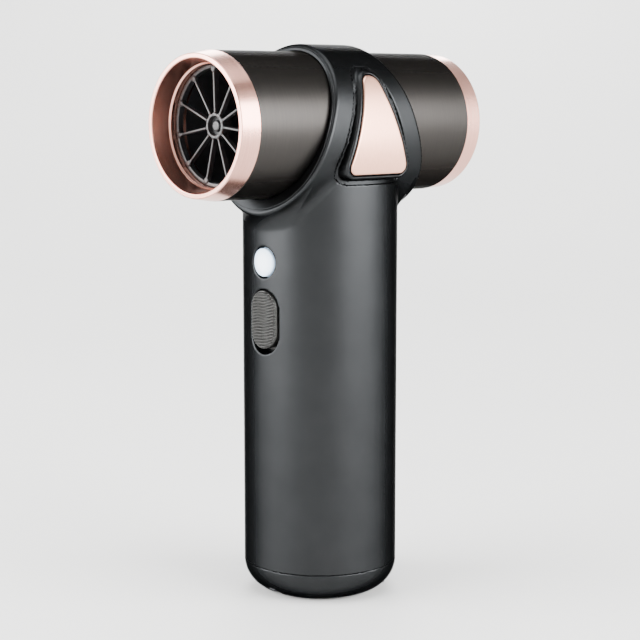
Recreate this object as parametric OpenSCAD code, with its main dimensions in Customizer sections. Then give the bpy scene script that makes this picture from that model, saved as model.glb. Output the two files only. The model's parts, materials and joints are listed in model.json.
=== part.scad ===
// Cordless car dryer blower: a straight fan barrel across the top of a round
// battery handle. +Z is up, the barrel runs along Y, the base stands on Z = 0
// and the handle's axis is the Z axis. -Y is the outlet end and the side with
// the controls, +Y is the intake end.

/* [Handle] */
// Outer diameter of the handle
handle_d = 40; // [38:0.5:48]
// Wall of the handle
handle_wall = 2.4; // [1.6:0.1:2.8]
// Radius of the rounded edge round the base
base_round = 8; // [5:0.5:9]
// Height of the barrel's axis above the base
axis_h = 121.8; // [118:0.2:150]

/* [Barrel] */
// Outer diameter of the barrel
barrel_d = 36.4; // [34:0.2:37.2]
// Wall of the barrel tube
barrel_wall = 1.5; // [1:0.1:1.6]
// Length over both end rings
barrel_len = 84.2; // [78:0.2:104]
// Length of each end ring's outer band
ring_band = 5.3; // [4:0.1:8]

/* [Collar] */
// Wall of the collar round the barrel
collar_wall = 1.8; // [1.4:0.1:2.4]
// Half length of the collar at the height of the barrel's axis
collar_half = 15.3; // [13:0.1:18]
// Lean of the collar's end faces from vertical, in degrees
collar_lean = 19; // [12:1:22]
// How far the flare under the collar stands out from the handle
flare_out = 3.4; // [1:0.1:4]

/* [Side trim] */
// Height of a trim plate
trim_h = 24.4; // [20:0.2:26]
// Width of a trim plate at its bottom edge
trim_w = 19.6; // [15:0.2:21]
// Radius of a trim plate's two lower corners
trim_r = 2; // [1:0.1:3]
// Radius of a trim plate's top corner
trim_top_r = 3; // [1.5:0.1:4]
// Rim left round a trim plate
trim_rim = 1.1; // [0.6:0.1:1.6]
// How far the rim stands out from the collar
trim_raise = 1.1; // [0.6:0.1:1.6]
// Thickness of a trim plate
trim_t = 1.2; // [0.8:0.1:1.6]

/* [Outlet] */
// Outer radius of the outlet ring at its lip
outlet_lip_r = 17.4; // [17:0.1:18]
// Inner radius of the outlet at its lip
outlet_mouth_r = 16.15; // [15.4:0.05:16.4]
// Inner radius of the outlet behind its lip
outlet_throat_r = 14.9; // [14:0.1:15.1]
// Depth of the grille behind the lip
grille_depth = 6.6; // [5:0.1:9]
// Number of spokes in the grille
spokes = 11; // [7:1:15]
// Width of a spoke
spoke_w = 0.6; // [0.5:0.1:1.4]
// Outer diameter of the grille's hub
grille_hub_d = 6.2; // [5:0.1:9]

/* [Fan] */
// Radius of the round intake opening
intake_r = 15; // [14:0.1:15.1]
// Gap between the blade tips and the duct
tip_gap = 0.4; // [0.3:0.1:0.8]
// Number of blades
blades = 10; // [7:1:12]
// Thickness of a blade
blade_t = 0.9; // [0.7:0.1:1.4]
// Depth of the blades along the barrel
blade_depth = 9; // [6:0.5:11]
// Diameter of the fan's nose
nose_d = 8.5; // [7:0.1:10]
// How far the nose sits inside the intake lip
nose_inset = 1; // [0.5:0.1:3]
// Diameter of the motor's shaft
shaft_d = 3; // [2:0.5:4]
// Outer diameter of the motor
motor_d = 21; // [19:0.5:22]
// Length of the motor
motor_len = 26; // [24:0.5:30]
// Number of guide vanes that hold the motor
vanes = 7; // [5:1:9]

/* [Controls] */
// Diameter of the power button
button_d = 7.2; // [6:0.1:8]
// Height of the power button's centre
button_z = 87.5; // [86:0.1:90]
// How far the power button presses in
button_travel = 0.4; // [0.2:0.05:0.5]
// Width of the speed slider
slider_w = 9; // [7:0.1:10]
// Height of the speed slider
slider_h = 14.8; // [12:0.1:16]
// Height of the middle of the slider's slot
slot_z = 72.4; // [71:0.1:74]
// Travel of the speed slider
slider_travel = 1.2; // [1:0.1:2]
// Pitch of the slider's ribs
rib_pitch = 0.75; // [0.6:0.05:1.5]

/* [Battery] */
// Diameter of a cell
cell_d = 14.1; // [12:0.1:14.5]
// Length of a cell
cell_len = 50; // [40:0.5:50.5]

/* [Fits] */
// Gap between fixed round pieces that fit in one another
fit = 0.1; // [0.05:0.01:0.15]
// Gap round each control where it passes the wall
control_gap = 0.35; // [0.3:0.05:0.5]
// Radial clearance of the shaft in its bearings
running_fit = 0.03; // [0.02:0.01:0.08]

/* [Hidden] */

$fn = 96;
eps = 0.01;
past = 60;

handle_r = handle_d / 2;
cavity_r = handle_r - handle_wall;
barrel_r = barrel_d / 2;
barrel_in = barrel_r - barrel_wall;
barrel_half = barrel_len / 2;
tube_half = barrel_half - ring_band;
collar_bore = barrel_r + fit;
collar_r = max(collar_bore + collar_wall, handle_r + 0.1);
lean = tan(collar_lean);
flare_h = 7;
flare_z = axis_h - collar_r - 1.6;
web = 2.4;
cavity_top = axis_h - collar_bore - web;

// Base
seam_z = base_round;
base_floor = 3;
spigot_h = 3;
spigot_wall = 1.4;
boss_r = 2.3;
boss_at = cavity_r - 1.9;
boss_top = seam_z + 8;
base_screw_r = 1;
base_head_r = 1.9;
base_head_t = 1.4;
base_head_z = 2;

// Rings
spigot_len = 3.2;
outlet_spigot = grille_depth + 3.4 - ring_band;
lip_bead = 0.5;
ring_step = 0.2;
dish_depth = 2.6;
throat_depth = 5;
spoke_at = 92;

// Side trim and the screws that it hides
trim_face_r = 35.4;
trim_face_low = -4.6;
trim_base = 0.4;
trim_proud = 0.15;
solid = 20;
plate_gap = 0.25;
collar_screw_at = [-5, 1];
collar_screw_r = 1;
collar_head_r = 1.8;
collar_head_t = 0.8;
collar_seat = collar_r - 0.6;

// Duct and motor
duct_r = barrel_in - 0.5;
collar_screw_len = collar_seat - duct_r - 0.1;
duct_in = intake_r;
duct_from = -tube_half + outlet_spigot;
duct_to = tube_half - spigot_len;
motor_r = motor_d / 2;
sleeve_wall = 0.8;
sleeve_r = motor_r + fit + sleeve_wall;
motor_from = -14;
motor_to = motor_from + motor_len;
end_t = 1.6;
bearing_r = 4;
bearing_w = 4;
can_wall = 0.9;
core_r = motor_r - can_wall - fit;
core_in = 4.6;
core_len = 10;
core_mid = (motor_from + motor_to) / 2;
magnet_r = core_in - 0.4;
slots = 6;
shaft_r = shaft_d / 2;
nose_face = barrel_half - nose_inset;
fan_tip = duct_in - tip_gap;
fan_back = nose_face - blade_depth - 3;
fan_hub_r = 6;
blade_pitch = 28;
blade_twist = 24;
fairing_gap = 0.5;
fairing_to = fan_back - fairing_gap;
tail_len = 8;

// Controls, measured along -Y from the handle's axis
knob_face = handle_r + 0.75;
button_face = handle_r + 0.15;
flange_face = cavity_r - 1.3;
flange_t = 0.9;
carrier_floor = flange_face - flange_t - 0.6;
carrier_t = 1.2;
carrier_w = 17;
carrier_low = slot_z - 10.9;
carrier_high = button_z + 8;
slot_w = slider_w + 2 * control_gap;
slot_end = 0.2;
slot_h = slider_h + slider_travel + 2 * slot_end;
button_hole_r = button_d / 2 + control_gap;
slider_mid = slot_z + slider_travel / 2;
board_t = 1.2;
control_face = carrier_floor - carrier_t - 2.2;
control_w = 21;
lever_r = 0.7;
lever_in = 1.4;
rib_depth = 0.45;
flange_rim = 0.9;
slider_pocket_rim = [1.8, 2.2];
button_pocket_rim = 1.4;
button_window_r = 3;
switch_window = [6, 12];
slide_switch_h = 2.6;
push_switch_h = 1.5;
push_switch_w = 4.5;
plunger_h = 0.55;
press_gap = 0.06;
stem_tip = control_face + push_switch_h + plunger_h - eps + button_travel + press_gap;

// Battery, from the base up
port_w = 8.9;
port_t = 3.2;
port_low = 0.4;
port_gap = 0.15;
port_wall = 0.35;
port_tongue = [6.4, 0.7];
port_len = 7;
charge_z = port_low + port_len;
charge_t = 1;
cap_t = 1.6;
cells_z = charge_z + charge_t + 0.4 + cap_t;
cells_top = cells_z + cell_len;
cell_ring = (cell_d + 0.3) / sqrt(3);
tab_t = 0.3;
nub_h = 1;
tab_z = cells_top + cap_t - nub_h;
chassis_z = cells_top + cap_t + 0.6;
chassis_t = 1.2;
chassis_top = cavity_top - 0.6;
driver_y = 2;
driver_w = 2 * (cavity_r - 5.1);
driver_top = chassis_top - 2;
driver_low = chassis_z + chassis_t;
lead_r = 0.65;
lead_step = 2.2;
lead_gap = 0.2;
lead_hole_gap = 0.3;
battery_lead_x = 6;
battery_lead_r = 0.75;
lead_y = driver_y + board_t + 0.8;
charge_lead_at = cavity_r - 3.7;
charge_lead_angles = [55, 125];
charge_lead_top = driver_low + 1.5;

// ---- helpers ----

// Cylinder along Y, from y0 to y1, on the barrel's axis
module y_cyl(r, y0, y1) {
    translate([0, y1, axis_h]) rotate([90, 0, 0]) cylinder(r = r, h = y1 - y0);
}

// Solid of revolution about the barrel's axis: points are [radius, y]
module y_turn(points) {
    translate([0, 0, axis_h]) rotate([90, 0, 0]) rotate_extrude()
        polygon([for (p = points) [p[0], -p[1]]]);
}

// Outline with straight sides and half-round ends, standing along Z
module slot_cut(w, h, z, y0, y1) {
    translate([0, y1, z]) rotate([90, 0, 0]) linear_extrude(height = y1 - y0) {
        square([w, h - w], center = true);
        for (s = [-1, 1]) translate([0, s * (h - w) / 2]) circle(d = w);
    }
}

// Space between the two leaning planes of the collar's end faces
module collar_wedge(grow = 0) {
    low = flare_z - flare_h - 1;
    high = axis_h + collar_r + 5;
    half_low = collar_half + grow + (axis_h - low) * lean;
    half_high = collar_half + grow - (high - axis_h) * lean;
    rotate([90, 0, 90]) linear_extrude(height = 80, center = true)
        polygon([[-half_low, low], [half_low, low], [half_high, high], [-half_high, high]]);
}

// Points of an arc
function arc(x, y, r, from, to) = [for (i = [0:6]) let (a = from + (to - from) * i / 6)
    [x + r * cos(a), y + r * sin(a)]];

// Rounded triangle of the side trim, as a 2D outline in Y and Z about the axis
module trim_outline(grow = 0) {
    low = trim_r - trim_h / 2;
    high = trim_h / 2 - trim_top_r;
    wide = trim_w / 2 - trim_r;
    span = norm([wide, high - low]);
    side = acos((trim_top_r - trim_r) / span) - atan2(high - low, wide);
    polygon(concat(
        arc(wide, low, trim_r + grow, -90, side),
        arc(0, high, trim_top_r + grow, side, 180 - side),
        arc(-wide, low, trim_r + grow, 180 - side, 270)));
}

// Solid behind the trim's outer face, which is one large arc along Y: it
// follows the collar above the axis and stands nearly upright below it
module trim_face(side, out) {
    centre_x = collar_r + trim_base - trim_face_r;
    translate([side * centre_x, 30, axis_h + trim_face_low]) rotate([90, 0, 0])
        cylinder(r = trim_face_r + out, h = 60);
}

// Slab inside the trim outline on one side, between two distances from the face
module trim_block(side, grow, from, to) {
    intersection() {
        translate([side * (barrel_r - 4), 0, axis_h]) rotate([90, 0, side * 90])
            linear_extrude(height = 16) trim_outline(grow);
        difference() {
            trim_face(side, to);
            if (from > -solid) trim_face(side, from);
        }
    }
}

// Screw along +Z with its head's top at the origin, pointing down
module screw(r, len, head_r, head_t) {
    translate([0, 0, -len]) cylinder(r = r, h = len, $fn = 32);
    difference() {
        translate([0, 0, -head_t]) cylinder(r = head_r, h = head_t, $fn = 48);
        for (a = [0, 90]) rotate([0, 0, a]) cube([head_r * 1.3, 0.4, 1], center = true);
    }
}

module place_collar_screws() {
    for (side = [-1, 1], dz = collar_screw_at)
        translate([side * collar_seat, 0, axis_h + dz]) rotate([0, side * 90, 0]) children();
}

module collar_screw_hole() {
    translate([0, 0, -collar_screw_len - 1])
        cylinder(r = collar_screw_r + fit, h = collar_screw_len + 2, $fn = 32);
}

module place_base_screws() {
    for (a = [30, 150, 270]) rotate([0, 0, a]) translate([boss_at, 0, 0]) children();
}

module place_cells() {
    for (a = [90, 210, 330]) rotate([0, 0, a]) translate([cell_ring, 0, 0]) children();
}

module place_motor_leads(r, z0, z1) {
    for (i = [-1, 0, 1]) translate([i * lead_step, lead_y, z0]) cylinder(r = r, h = z1 - z0, $fn = 24);
}

// ---- housing ----

module body_shell() {
    color("#4a4d4e") difference() {
        union() {
            translate([0, 0, seam_z]) cylinder(r = handle_r, h = flare_z - seam_z);
            intersection() {
                union() {
                    y_cyl(collar_r, -collar_half - 12, collar_half + 12);
                    translate([0, 0, flare_z - 1]) cylinder(r = handle_r, h = axis_h - flare_z + 1);
                    collar_flare();
                }
                collar_wedge();
            }
            for (side = [-1, 1]) trim_block(side, trim_rim, -solid, trim_raise);
        }
        y_cyl(collar_bore, -past, past);
        difference() {
            translate([0, 0, seam_z - 1]) cylinder(r = cavity_r, h = cavity_top - seam_z + 1);
            place_base_screws() translate([0, 0, seam_z + spigot_h + 0.2])
                cylinder(r = boss_r, h = boss_top - seam_z - spigot_h - 0.2, $fn = 48);
        }
        place_base_screws() translate([0, 0, seam_z])
            cylinder(r = base_screw_r + fit, h = boss_top - seam_z - 1, $fn = 32);
        for (side = [-1, 1]) trim_block(side, plate_gap, trim_raise + trim_proud - trim_t, 5);
        slot_cut(slot_w, slot_h, slot_z, -handle_r - 5, -cavity_r + 3);
        translate([0, -cavity_r + 3, button_z]) rotate([90, 0, 0])
            cylinder(r = button_hole_r, h = handle_wall + 6);
        place_motor_leads(lead_r + lead_hole_gap, cavity_top - 1, axis_h);
        place_collar_screws() {
            collar_screw_hole();
            translate([0, 0, -collar_head_t - fit]) cylinder(r = collar_head_r + fit, h = 3);
        }
    }
}

// Concave flare that carries the handle out to the collar's lower edges: the
// handle's own circle, slid towards each end and filleted into the handle
module collar_flare() {
    foot = flare_z - flare_h + 2;
    top = axis_h - 6;
    start = handle_r - flare_out - 0.3;
    intersection() {
        for (side = [-1, 1]) translate([0, side * flare_out, 0])
            rotate_extrude() polygon(concat(
                [[0, foot]],
                [for (a = [0:10:90]) [start + (flare_out + 0.3) * (1 - cos(a)),
                    foot + (flare_h - 1) * sin(a)]],
                [[handle_r, top], [0, top]]));
        y_cyl(collar_r + 1.6, -past, past);
    }
}

module base_cap() {
    color("#434647") difference() {
        union() {
            rotate_extrude() intersection() {
                union() {
                    translate([handle_r - base_round, base_round]) circle(r = base_round);
                    square([handle_r - base_round, 2 * base_round]);
                }
                square([handle_r, seam_z]);
            }
            translate([0, 0, seam_z - eps]) cylinder(r = cavity_r - fit, h = spigot_h);
        }
        translate([0, 0, base_floor]) cylinder(r = handle_r - base_round + 0.5, h = 20);
        translate([0, 0, base_floor + 2.6]) cylinder(r = cavity_r - spigot_wall, h = 20);
        place_base_screws() {
            translate([0, 0, -1]) cylinder(r = base_screw_r + fit, h = 20, $fn = 32);
            translate([0, 0, -1]) cylinder(r = base_head_r + fit, h = base_head_z + base_head_t + 1);
        }
        linear_extrude(height = 3 * base_floor, center = true) port_outline(port_gap);
    }
}

module base_screws() {
    color("#2b2c2e") place_base_screws() translate([0, 0, base_head_z]) mirror([0, 0, 1])
        screw(base_screw_r, boss_top - base_head_z - 2.4, base_head_r, base_head_t);
}

module barrel() {
    color("#55585a") difference() {
        y_cyl(barrel_r, -tube_half, tube_half);
        y_cyl(barrel_in, -past, past);
        place_motor_leads(lead_r + lead_hole_gap, axis_h - barrel_r - 1, axis_h);
        place_collar_screws() collar_screw_hole();
    }
}

// Tapered ring at the outlet, with the inner wall that closes down to the grille
module outlet_ring() {
    lip = -barrel_half;
    color("#c99a88") y_turn([[outlet_lip_r - 0.3, lip], [outlet_lip_r, lip + 0.3],
        [barrel_r, lip + ring_band], [barrel_in - fit / 2, lip + ring_band],
        [barrel_in - fit / 2, duct_from], [outlet_throat_r, duct_from],
        [outlet_throat_r, lip + throat_depth], [outlet_throat_r + 0.35, lip + throat_depth],
        [outlet_mouth_r, lip + 0.3], [outlet_mouth_r + 0.3, lip]]);
}

// Straight ring at the intake, dished inward to the round opening
module intake_ring() {
    lip = barrel_half;
    band_r = barrel_r - ring_step;
    color("#c99a88") y_turn([[band_r, lip - ring_band], [band_r, lip - lip_bead],
        [barrel_r - lip_bead, lip], [barrel_r - 2 * lip_bead, lip],
        [barrel_r - 2.4 * lip_bead, lip - lip_bead], [intake_r + 0.4, lip - dish_depth + 0.2],
        [intake_r, lip - dish_depth - 0.3], [intake_r, duct_to], [barrel_in - fit / 2, duct_to],
        [barrel_in - fit / 2, lip - ring_band]]);
}

module outlet_grille() {
    face = -barrel_half + grille_depth;
    rim = 1;
    hub_r = grille_hub_d / 2;
    depth = 1.8;
    hub_len = 3;
    boss = 1.3;
    color("#1b1b1d") {
        difference() {
            y_cyl(outlet_throat_r, face, face + depth);
            y_cyl(outlet_throat_r - rim, face - 1, face + depth + 1);
        }
        difference() {
            y_cyl(hub_r, face - 0.2, face + hub_len);
            y_cyl(hub_r - 0.7, face - 1, face + 1.2);
        }
        y_cyl(boss, face + 0.2, face + 1.4);
        for (i = [0:spokes - 1]) translate([0, face, axis_h])
            rotate([0, -spoke_at - i * 360 / spokes, 0])
                translate([hub_r - 0.3, 0, -spoke_w / 2])
                    cube([outlet_throat_r - rim - hub_r + 0.6, depth - 0.3, spoke_w]);
    }
}

module trim_left() {
    color("#c99a88") trim_plate(-1);
}

module trim_right() {
    color("#c99a88") trim_plate(1);
}

module trim_plate(side) {
    trim_block(side, 0, trim_raise + trim_proud - trim_t, trim_raise + trim_proud);
}

module collar_screws() {
    color("#3a3b3d") place_collar_screws()
        screw(collar_screw_r, collar_screw_len, collar_head_r, collar_head_t);
}

// ---- fan and motor ----

module fan_duct() {
    color("#1d1e20") difference() {
        union() {
            difference() {
                y_cyl(duct_r, duct_from, duct_to);
                y_cyl(duct_in, -past, past);
            }
            for (i = [0:vanes - 1]) guide_vane(i * 360 / vanes + 90);
            y_cyl(sleeve_r, motor_from + 4, motor_to - 4);
        }
        y_cyl(motor_r + fit / 2, -past, past);
        place_motor_leads(lead_r + lead_gap, axis_h - duct_r - 1, axis_h - motor_r + 1);
    }
}

// One curved vane from the motor sleeve out to the duct
module guide_vane(angle) {
    bend_r = 22;
    vane_t = 1;
    intersection() {
        translate([0, 0, axis_h]) rotate([0, -angle, 0]) translate([0, core_mid, -bend_r])
            rotate([0, 90, 0]) linear_extrude(height = duct_in + 0.4) intersection() {
                difference() {
                    circle(r = bend_r + vane_t / 2);
                    circle(r = bend_r - vane_t / 2);
                }
                translate([-bend_r - 2, -6]) square([8, 12]);
            }
        difference() {
            y_cyl(duct_in + 0.3, core_mid - 10, core_mid + 10);
            y_cyl(motor_r + fit + 0.3, core_mid - 11, core_mid + 11);
        }
    }
}

module damper_rings() {
    color("#232325") for (y = [-tube_half + 14, tube_half - 14]) difference() {
        y_cyl(barrel_in - fit / 2, y - 1.5, y + 1.5);
        y_cyl(duct_r + fit / 2, y - 2, y + 2);
    }
}

module motor_can() {
    color("#c4c7c9") difference() {
        y_cyl(motor_r, motor_from, motor_to);
        y_cyl(motor_r - can_wall, motor_from + bearing_w + end_t, motor_to - bearing_w - end_t);
        y_cyl(bearing_r + fit / 2, motor_from - 1, motor_from + bearing_w);
        y_cyl(bearing_r + fit / 2, motor_to - bearing_w, motor_to + 1);
        y_cyl(bearing_r - 1, motor_from, motor_to);
        place_motor_leads(lead_r + lead_gap, axis_h - motor_r - 1, axis_h - motor_r + can_wall + 0.5);
    }
}

// Fixed fairing between the fan's hub and the motor
module motor_nose() {
    color("#c4c7c9") y_turn([[shaft_r + 1, motor_to], [sleeve_r, motor_to],
        [sleeve_r - 1, motor_to + 5], [fan_hub_r + 1.2, fairing_to - 2], [fan_hub_r, fairing_to],
        [shaft_r + 1, fairing_to]]);
}

module stator_core() {
    color("#77797b") difference() {
        y_cyl(core_r, core_mid - core_len / 2, core_mid + core_len / 2);
        y_cyl(core_in, -past, past);
        for (i = [0:slots - 1]) translate([0, 0, axis_h]) rotate([0, i * 360 / slots, 0])
            translate([core_in - 0.6, core_mid - core_len, -0.5]) cube([1.6, 2 * core_len, 1]);
        for (i = [0:slots - 1]) translate([0, 0, axis_h]) rotate([0, i * 360 / slots, 0])
            translate([(core_in + core_r) / 2, core_mid + core_len, 0]) rotate([90, 0, 0])
                cylinder(r = 1.5, h = 2 * core_len, $fn = 32);
    }
}

// One coil bundle in each slot, standing a little out of the core
module stator_windings() {
    color("#b5652b") for (i = [0:slots - 1]) translate([0, 0, axis_h])
        rotate([0, i * 360 / slots, 0])
            translate([(core_in + core_r) / 2, core_mid + core_len / 2 + 1.2, 0]) rotate([90, 0, 0])
                cylinder(r = 1.4, h = core_len + 2.4, $fn = 32);
}

module bearing(y0) {
    color("#9a9da0") difference() {
        y_cyl(bearing_r, y0, y0 + bearing_w);
        y_cyl(shaft_r + running_fit, y0 - 1, y0 + bearing_w + 1);
    }
}

module bearing_intake() {
    bearing(motor_to - bearing_w);
}

module bearing_outlet() {
    bearing(motor_from);
}

// Cone that closes the motor towards the outlet
module tail_cone() {
    color("#2a2b2d") y_turn([[0, motor_from - tail_len], [2.2, motor_from - tail_len],
        [5, motor_from - tail_len * 0.75], [motor_r - 1.6, motor_from - 2.6],
        [motor_r, motor_from], [bearing_r, motor_from], [bearing_r - 1, motor_from - 1.2],
        [0, motor_from - 1.2]]);
}

module motor_shaft() {
    color("#d8dadb") y_cyl(shaft_r, motor_from - 0.6, nose_face - 2.4);
}

module rotor_magnet() {
    color("#6d7073") difference() {
        y_cyl(magnet_r, core_mid - core_len / 2, core_mid + core_len / 2);
        y_cyl(shaft_r, -past, past);
    }
}

// Fan with twisted blades on a small hub
module impeller() {
    hub_front = nose_face - 1.2;
    hub_r = nose_d / 2;
    color("#17181a") difference() {
        union() {
            y_turn([[0, hub_front], [hub_r, hub_front], [hub_r, hub_front - 3],
                [fan_hub_r, fan_back + 1], [fan_hub_r, fan_back], [0, fan_back]]);
            intersection() {
                for (i = [0:blades - 1]) translate([0, 0, axis_h])
                    rotate([0, -4 - i * 360 / blades, 0]) fan_blade();
                y_cyl(fan_tip, fan_back + 0.3, hub_front - 0.8);
            }
        }
        y_cyl(shaft_r, fan_back - 1, nose_face - 2.4);
    }
}

// Blade that runs out along +X, curved in section and twisted towards its tip
module fan_blade() {
    curve_r = blade_depth * 0.95;
    half = asin(blade_depth / 2 / curve_r);
    steps = 5;
    turn = [for (i = [0:steps]) half * (2 * i / steps - 1)];
    outer = [for (a = turn) (curve_r + blade_t / 2) * [-cos(a), -sin(a)]];
    inner = [for (i = [steps:-1:0]) (curve_r - blade_t / 2) * [-cos(turn[i]), -sin(turn[i])]];
    root = nose_d / 2 - 0.8;
    translate([root, (fan_back + nose_face) / 2 - 0.5, 0]) rotate([0, 90, 0])
        linear_extrude(height = fan_tip - root + 0.5, twist = -blade_twist, slices = 6, $fn = 0, $fs = 100)
            rotate(-blade_pitch) translate([curve_r, 0]) polygon(concat(outer, inner));
}

module nose_cap() {
    hub_r = nose_d / 2;
    color("#1d1e20") y_turn([[0, nose_face], [hub_r - 1, nose_face], [hub_r - 0.9, nose_face - 0.3],
        [hub_r - 0.5, nose_face - 0.3], [hub_r - 0.4, nose_face], [hub_r - 0.2, nose_face],
        [hub_r, nose_face - 0.2], [hub_r, nose_face - 1.2], [0, nose_face - 1.2]]);
}

// ---- controls ----

module control_carrier() {
    color("#141516") difference() {
        intersection() {
            translate([-carrier_w / 2, -cavity_r, carrier_low])
                cube([carrier_w, cavity_r - carrier_floor + carrier_t, carrier_high - carrier_low]);
            cylinder(r = cavity_r - fit / 2, h = 200);
        }
        slot_cut(slider_w + 2 * slider_pocket_rim[0], slider_h + slider_travel + 2 * slider_pocket_rim[1],
            slot_z, -cavity_r - 1, -carrier_floor);
        translate([0, -carrier_floor, button_z]) rotate([90, 0, 0])
            cylinder(r = button_hole_r + button_pocket_rim, h = 10);
        translate([0, 0, button_z]) rotate([90, 0, 0]) cylinder(r = button_window_r, h = past);
        translate([-switch_window[0] / 2, -past, slot_z - switch_window[1] / 2])
            cube([switch_window[0], 2 * past, switch_window[1]]);
    }
}

module power_button() {
    color("#eef4fa") {
        intersection() {
            translate([0, -flange_face + eps, button_z]) rotate([90, 0, 0])
                cylinder(r = button_d / 2, h = 20);
            cylinder(r = button_face, h = 200);
        }
        translate([0, -flange_face + flange_t, button_z]) rotate([90, 0, 0])
            cylinder(r = button_hole_r + flange_rim, h = flange_t);
        translate([0, -stem_tip, button_z]) rotate([90, 0, 0])
            cylinder(r = 1, h = flange_face - flange_t + eps - stem_tip, $fn = 32);
    }
}

module speed_slider() {
    ribs = floor(slider_h / rib_pitch);
    rib_gap = 0.42 * rib_pitch;
    color("#5d6062") difference() {
        union() {
            intersection() {
                slot_cut(slider_w, slider_h, slider_mid, -handle_r - 5, -flange_face + eps);
                cylinder(r = knob_face, h = 200);
            }
            slot_cut(slider_w + 2 * flange_rim, slider_h + 2 * flange_rim, slider_mid,
                -flange_face, -flange_face + flange_t);
        }
        for (i = [1:ribs - 1])
            translate([-slider_w, -handle_r - 5, slider_mid + (i - ribs / 2) * rib_pitch - rib_gap / 2])
                intersection() {
                    cube([2 * slider_w, 8, rib_gap]);
                    translate([slider_w, handle_r + 5, -1]) difference() {
                        cylinder(r = knob_face + 1, h = 5);
                        translate([0, 0, -1]) cylinder(r = knob_face - rib_depth, h = 7);
                    }
                }
        translate([0, 0, slider_mid]) rotate([90, 0, 0])
            cylinder(r = lever_r + fit / 2, h = flange_face + lever_in, $fn = 32);
    }
}

module switch_lever() {
    color("#c9c9c4") translate([0, -control_face - slide_switch_h, slider_mid])
        rotate([90, 0, 0])
            cylinder(r = lever_r, h = flange_face + lever_in - control_face - slide_switch_h, $fn = 32);
}

module control_board() {
    color("#1f5a3c") difference() {
        translate([-control_w / 2, -control_face, driver_low])
            cube([control_w, board_t, driver_top - driver_low]);
        for (z = [driver_low + 2, driver_top - 2]) translate([control_w / 2 - 2, 0, z])
            rotate([90, 0, 0]) cylinder(r = 0.8, h = 30, $fn = 24);
    }
}

module button_switch() {
    color("#8d9093") {
        translate([-push_switch_w / 2, -control_face - push_switch_h, button_z - push_switch_w / 2])
            cube([push_switch_w, push_switch_h, push_switch_w]);
        translate([0, -control_face - push_switch_h + eps, button_z]) rotate([90, 0, 0])
            cylinder(r = 1, h = plunger_h, $fn = 32);
    }
}

module slide_switch() {
    color("#a9abad") difference() {
        translate([-1.8, -control_face - slide_switch_h, slot_z - 4.4]) cube([3.6, slide_switch_h, 8.8]);
        translate([-0.9, -control_face - slide_switch_h - 0.4, slot_z - 2.2]) cube([1.8, 1, 4.4]);
    }
}

module status_leds() {
    color("#f3f7ff") for (s = [-1, 1])
        translate([s * 3.3 - 0.5, -control_face - 0.8, button_z - 1]) cube([1, 0.8, 2]);
}

// ---- electronics and battery ----

module driver_board() {
    color("#1f5a3c") translate([-driver_w / 2, driver_y, driver_low])
        cube([driver_w, board_t, driver_top - driver_low]);
}

// Power transistors, controller chip and the buffer capacitor
module driver_parts() {
    back = driver_y + board_t;
    low = driver_low + 3;
    transistor = 3.4;
    pitch = 5;
    chip = 5;
    capacitor_r = 3.15;
    color("#26282a") {
        for (row = [0, 1], col = [-1, 0, 1])
            translate([col * pitch - transistor / 2, back, low + 9 + row * pitch])
                cube([transistor, 1, transistor]);
        translate([-chip / 2, back, low]) cube([chip, 0.9, chip]);
        translate([8.6, back + capacitor_r + fit / 2, low]) cylinder(r = capacitor_r, h = 11, $fn = 48);
    }
}

module board_header() {
    pin_pitch = 1.27;
    color("#c9a545") for (i = [-1.5:1:1.5])
        translate([i * pin_pitch, driver_y, driver_low + 4]) rotate([90, 0, 0])
            cylinder(r = 0.32, h = driver_y + control_face - board_t, $fn = 16);
}

// Frame that carries both boards above the cells: a plate with a grooved rail
// on each side
module inner_chassis() {
    slot = board_t + 2 * fit;
    rail_cover = 1.1;
    rail_wall = 1.2;
    side_gap = 0.3;
    carrier_gap = 0.5;
    inner = driver_w / 2 - rail_cover;
    front = -control_face - rail_wall;
    color("#303234") difference() {
        union() {
            difference() {
                translate([0, 0, chassis_z]) cylinder(r = cavity_r - side_gap, h = chassis_t);
                translate([-carrier_w / 2 - carrier_gap, -cavity_r - 1, chassis_z - 1])
                    cube([carrier_w + 2 * carrier_gap, cavity_r + 1 - carrier_floor + carrier_t + 0.4, 4]);
            }
            intersection() {
                translate([-cavity_r, front, chassis_z])
                    cube([2 * cavity_r, driver_y + board_t + 1.4 - front, chassis_top - chassis_z]);
                difference() {
                    cylinder(r = cavity_r - side_gap, h = 200);
                    translate([-control_w / 2 + rail_cover, -past, chassis_z + chassis_t])
                        cube([control_w - 2 * rail_cover, 2 * past, past]);
                }
            }
        }
        translate([-control_w / 2 - fit, -control_face - fit, driver_low])
            cube([control_w + 2 * fit, slot, past]);
        translate([-inner, -control_face + board_t + 0.9, driver_low])
            cube([2 * inner, control_face + driver_y - board_t - 1.8, past]);
        translate([-driver_w / 2 - fit, driver_y - fit, driver_low])
            cube([driver_w + 2 * fit, slot, past]);
        translate([-inner - 0.4, driver_y - fit, driver_low]) cube([2 * inner + 0.8, past, past]);
        for (s = [-1, 1]) translate([s * battery_lead_x, lead_y, chassis_z - 1])
            cylinder(r = battery_lead_r + 0.45, h = 5, $fn = 24);
        place_charge_leads(lead_r + lead_gap);
    }
}

module battery_cells() {
    color("#2f6db0") place_cells() translate([0, 0, cells_z]) {
        cylinder(d = cell_d, h = cell_len - nub_h);
        translate([0, 0, cell_len - nub_h]) cylinder(d = cell_d * 0.4, h = nub_h, $fn = 48);
    }
}

// Plastic caps that space the cells at both ends
module cell_caps() {
    color("#222426") {
        cell_cap(cells_z - cap_t);
        cell_cap(cells_top - nub_h);
    }
}

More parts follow.
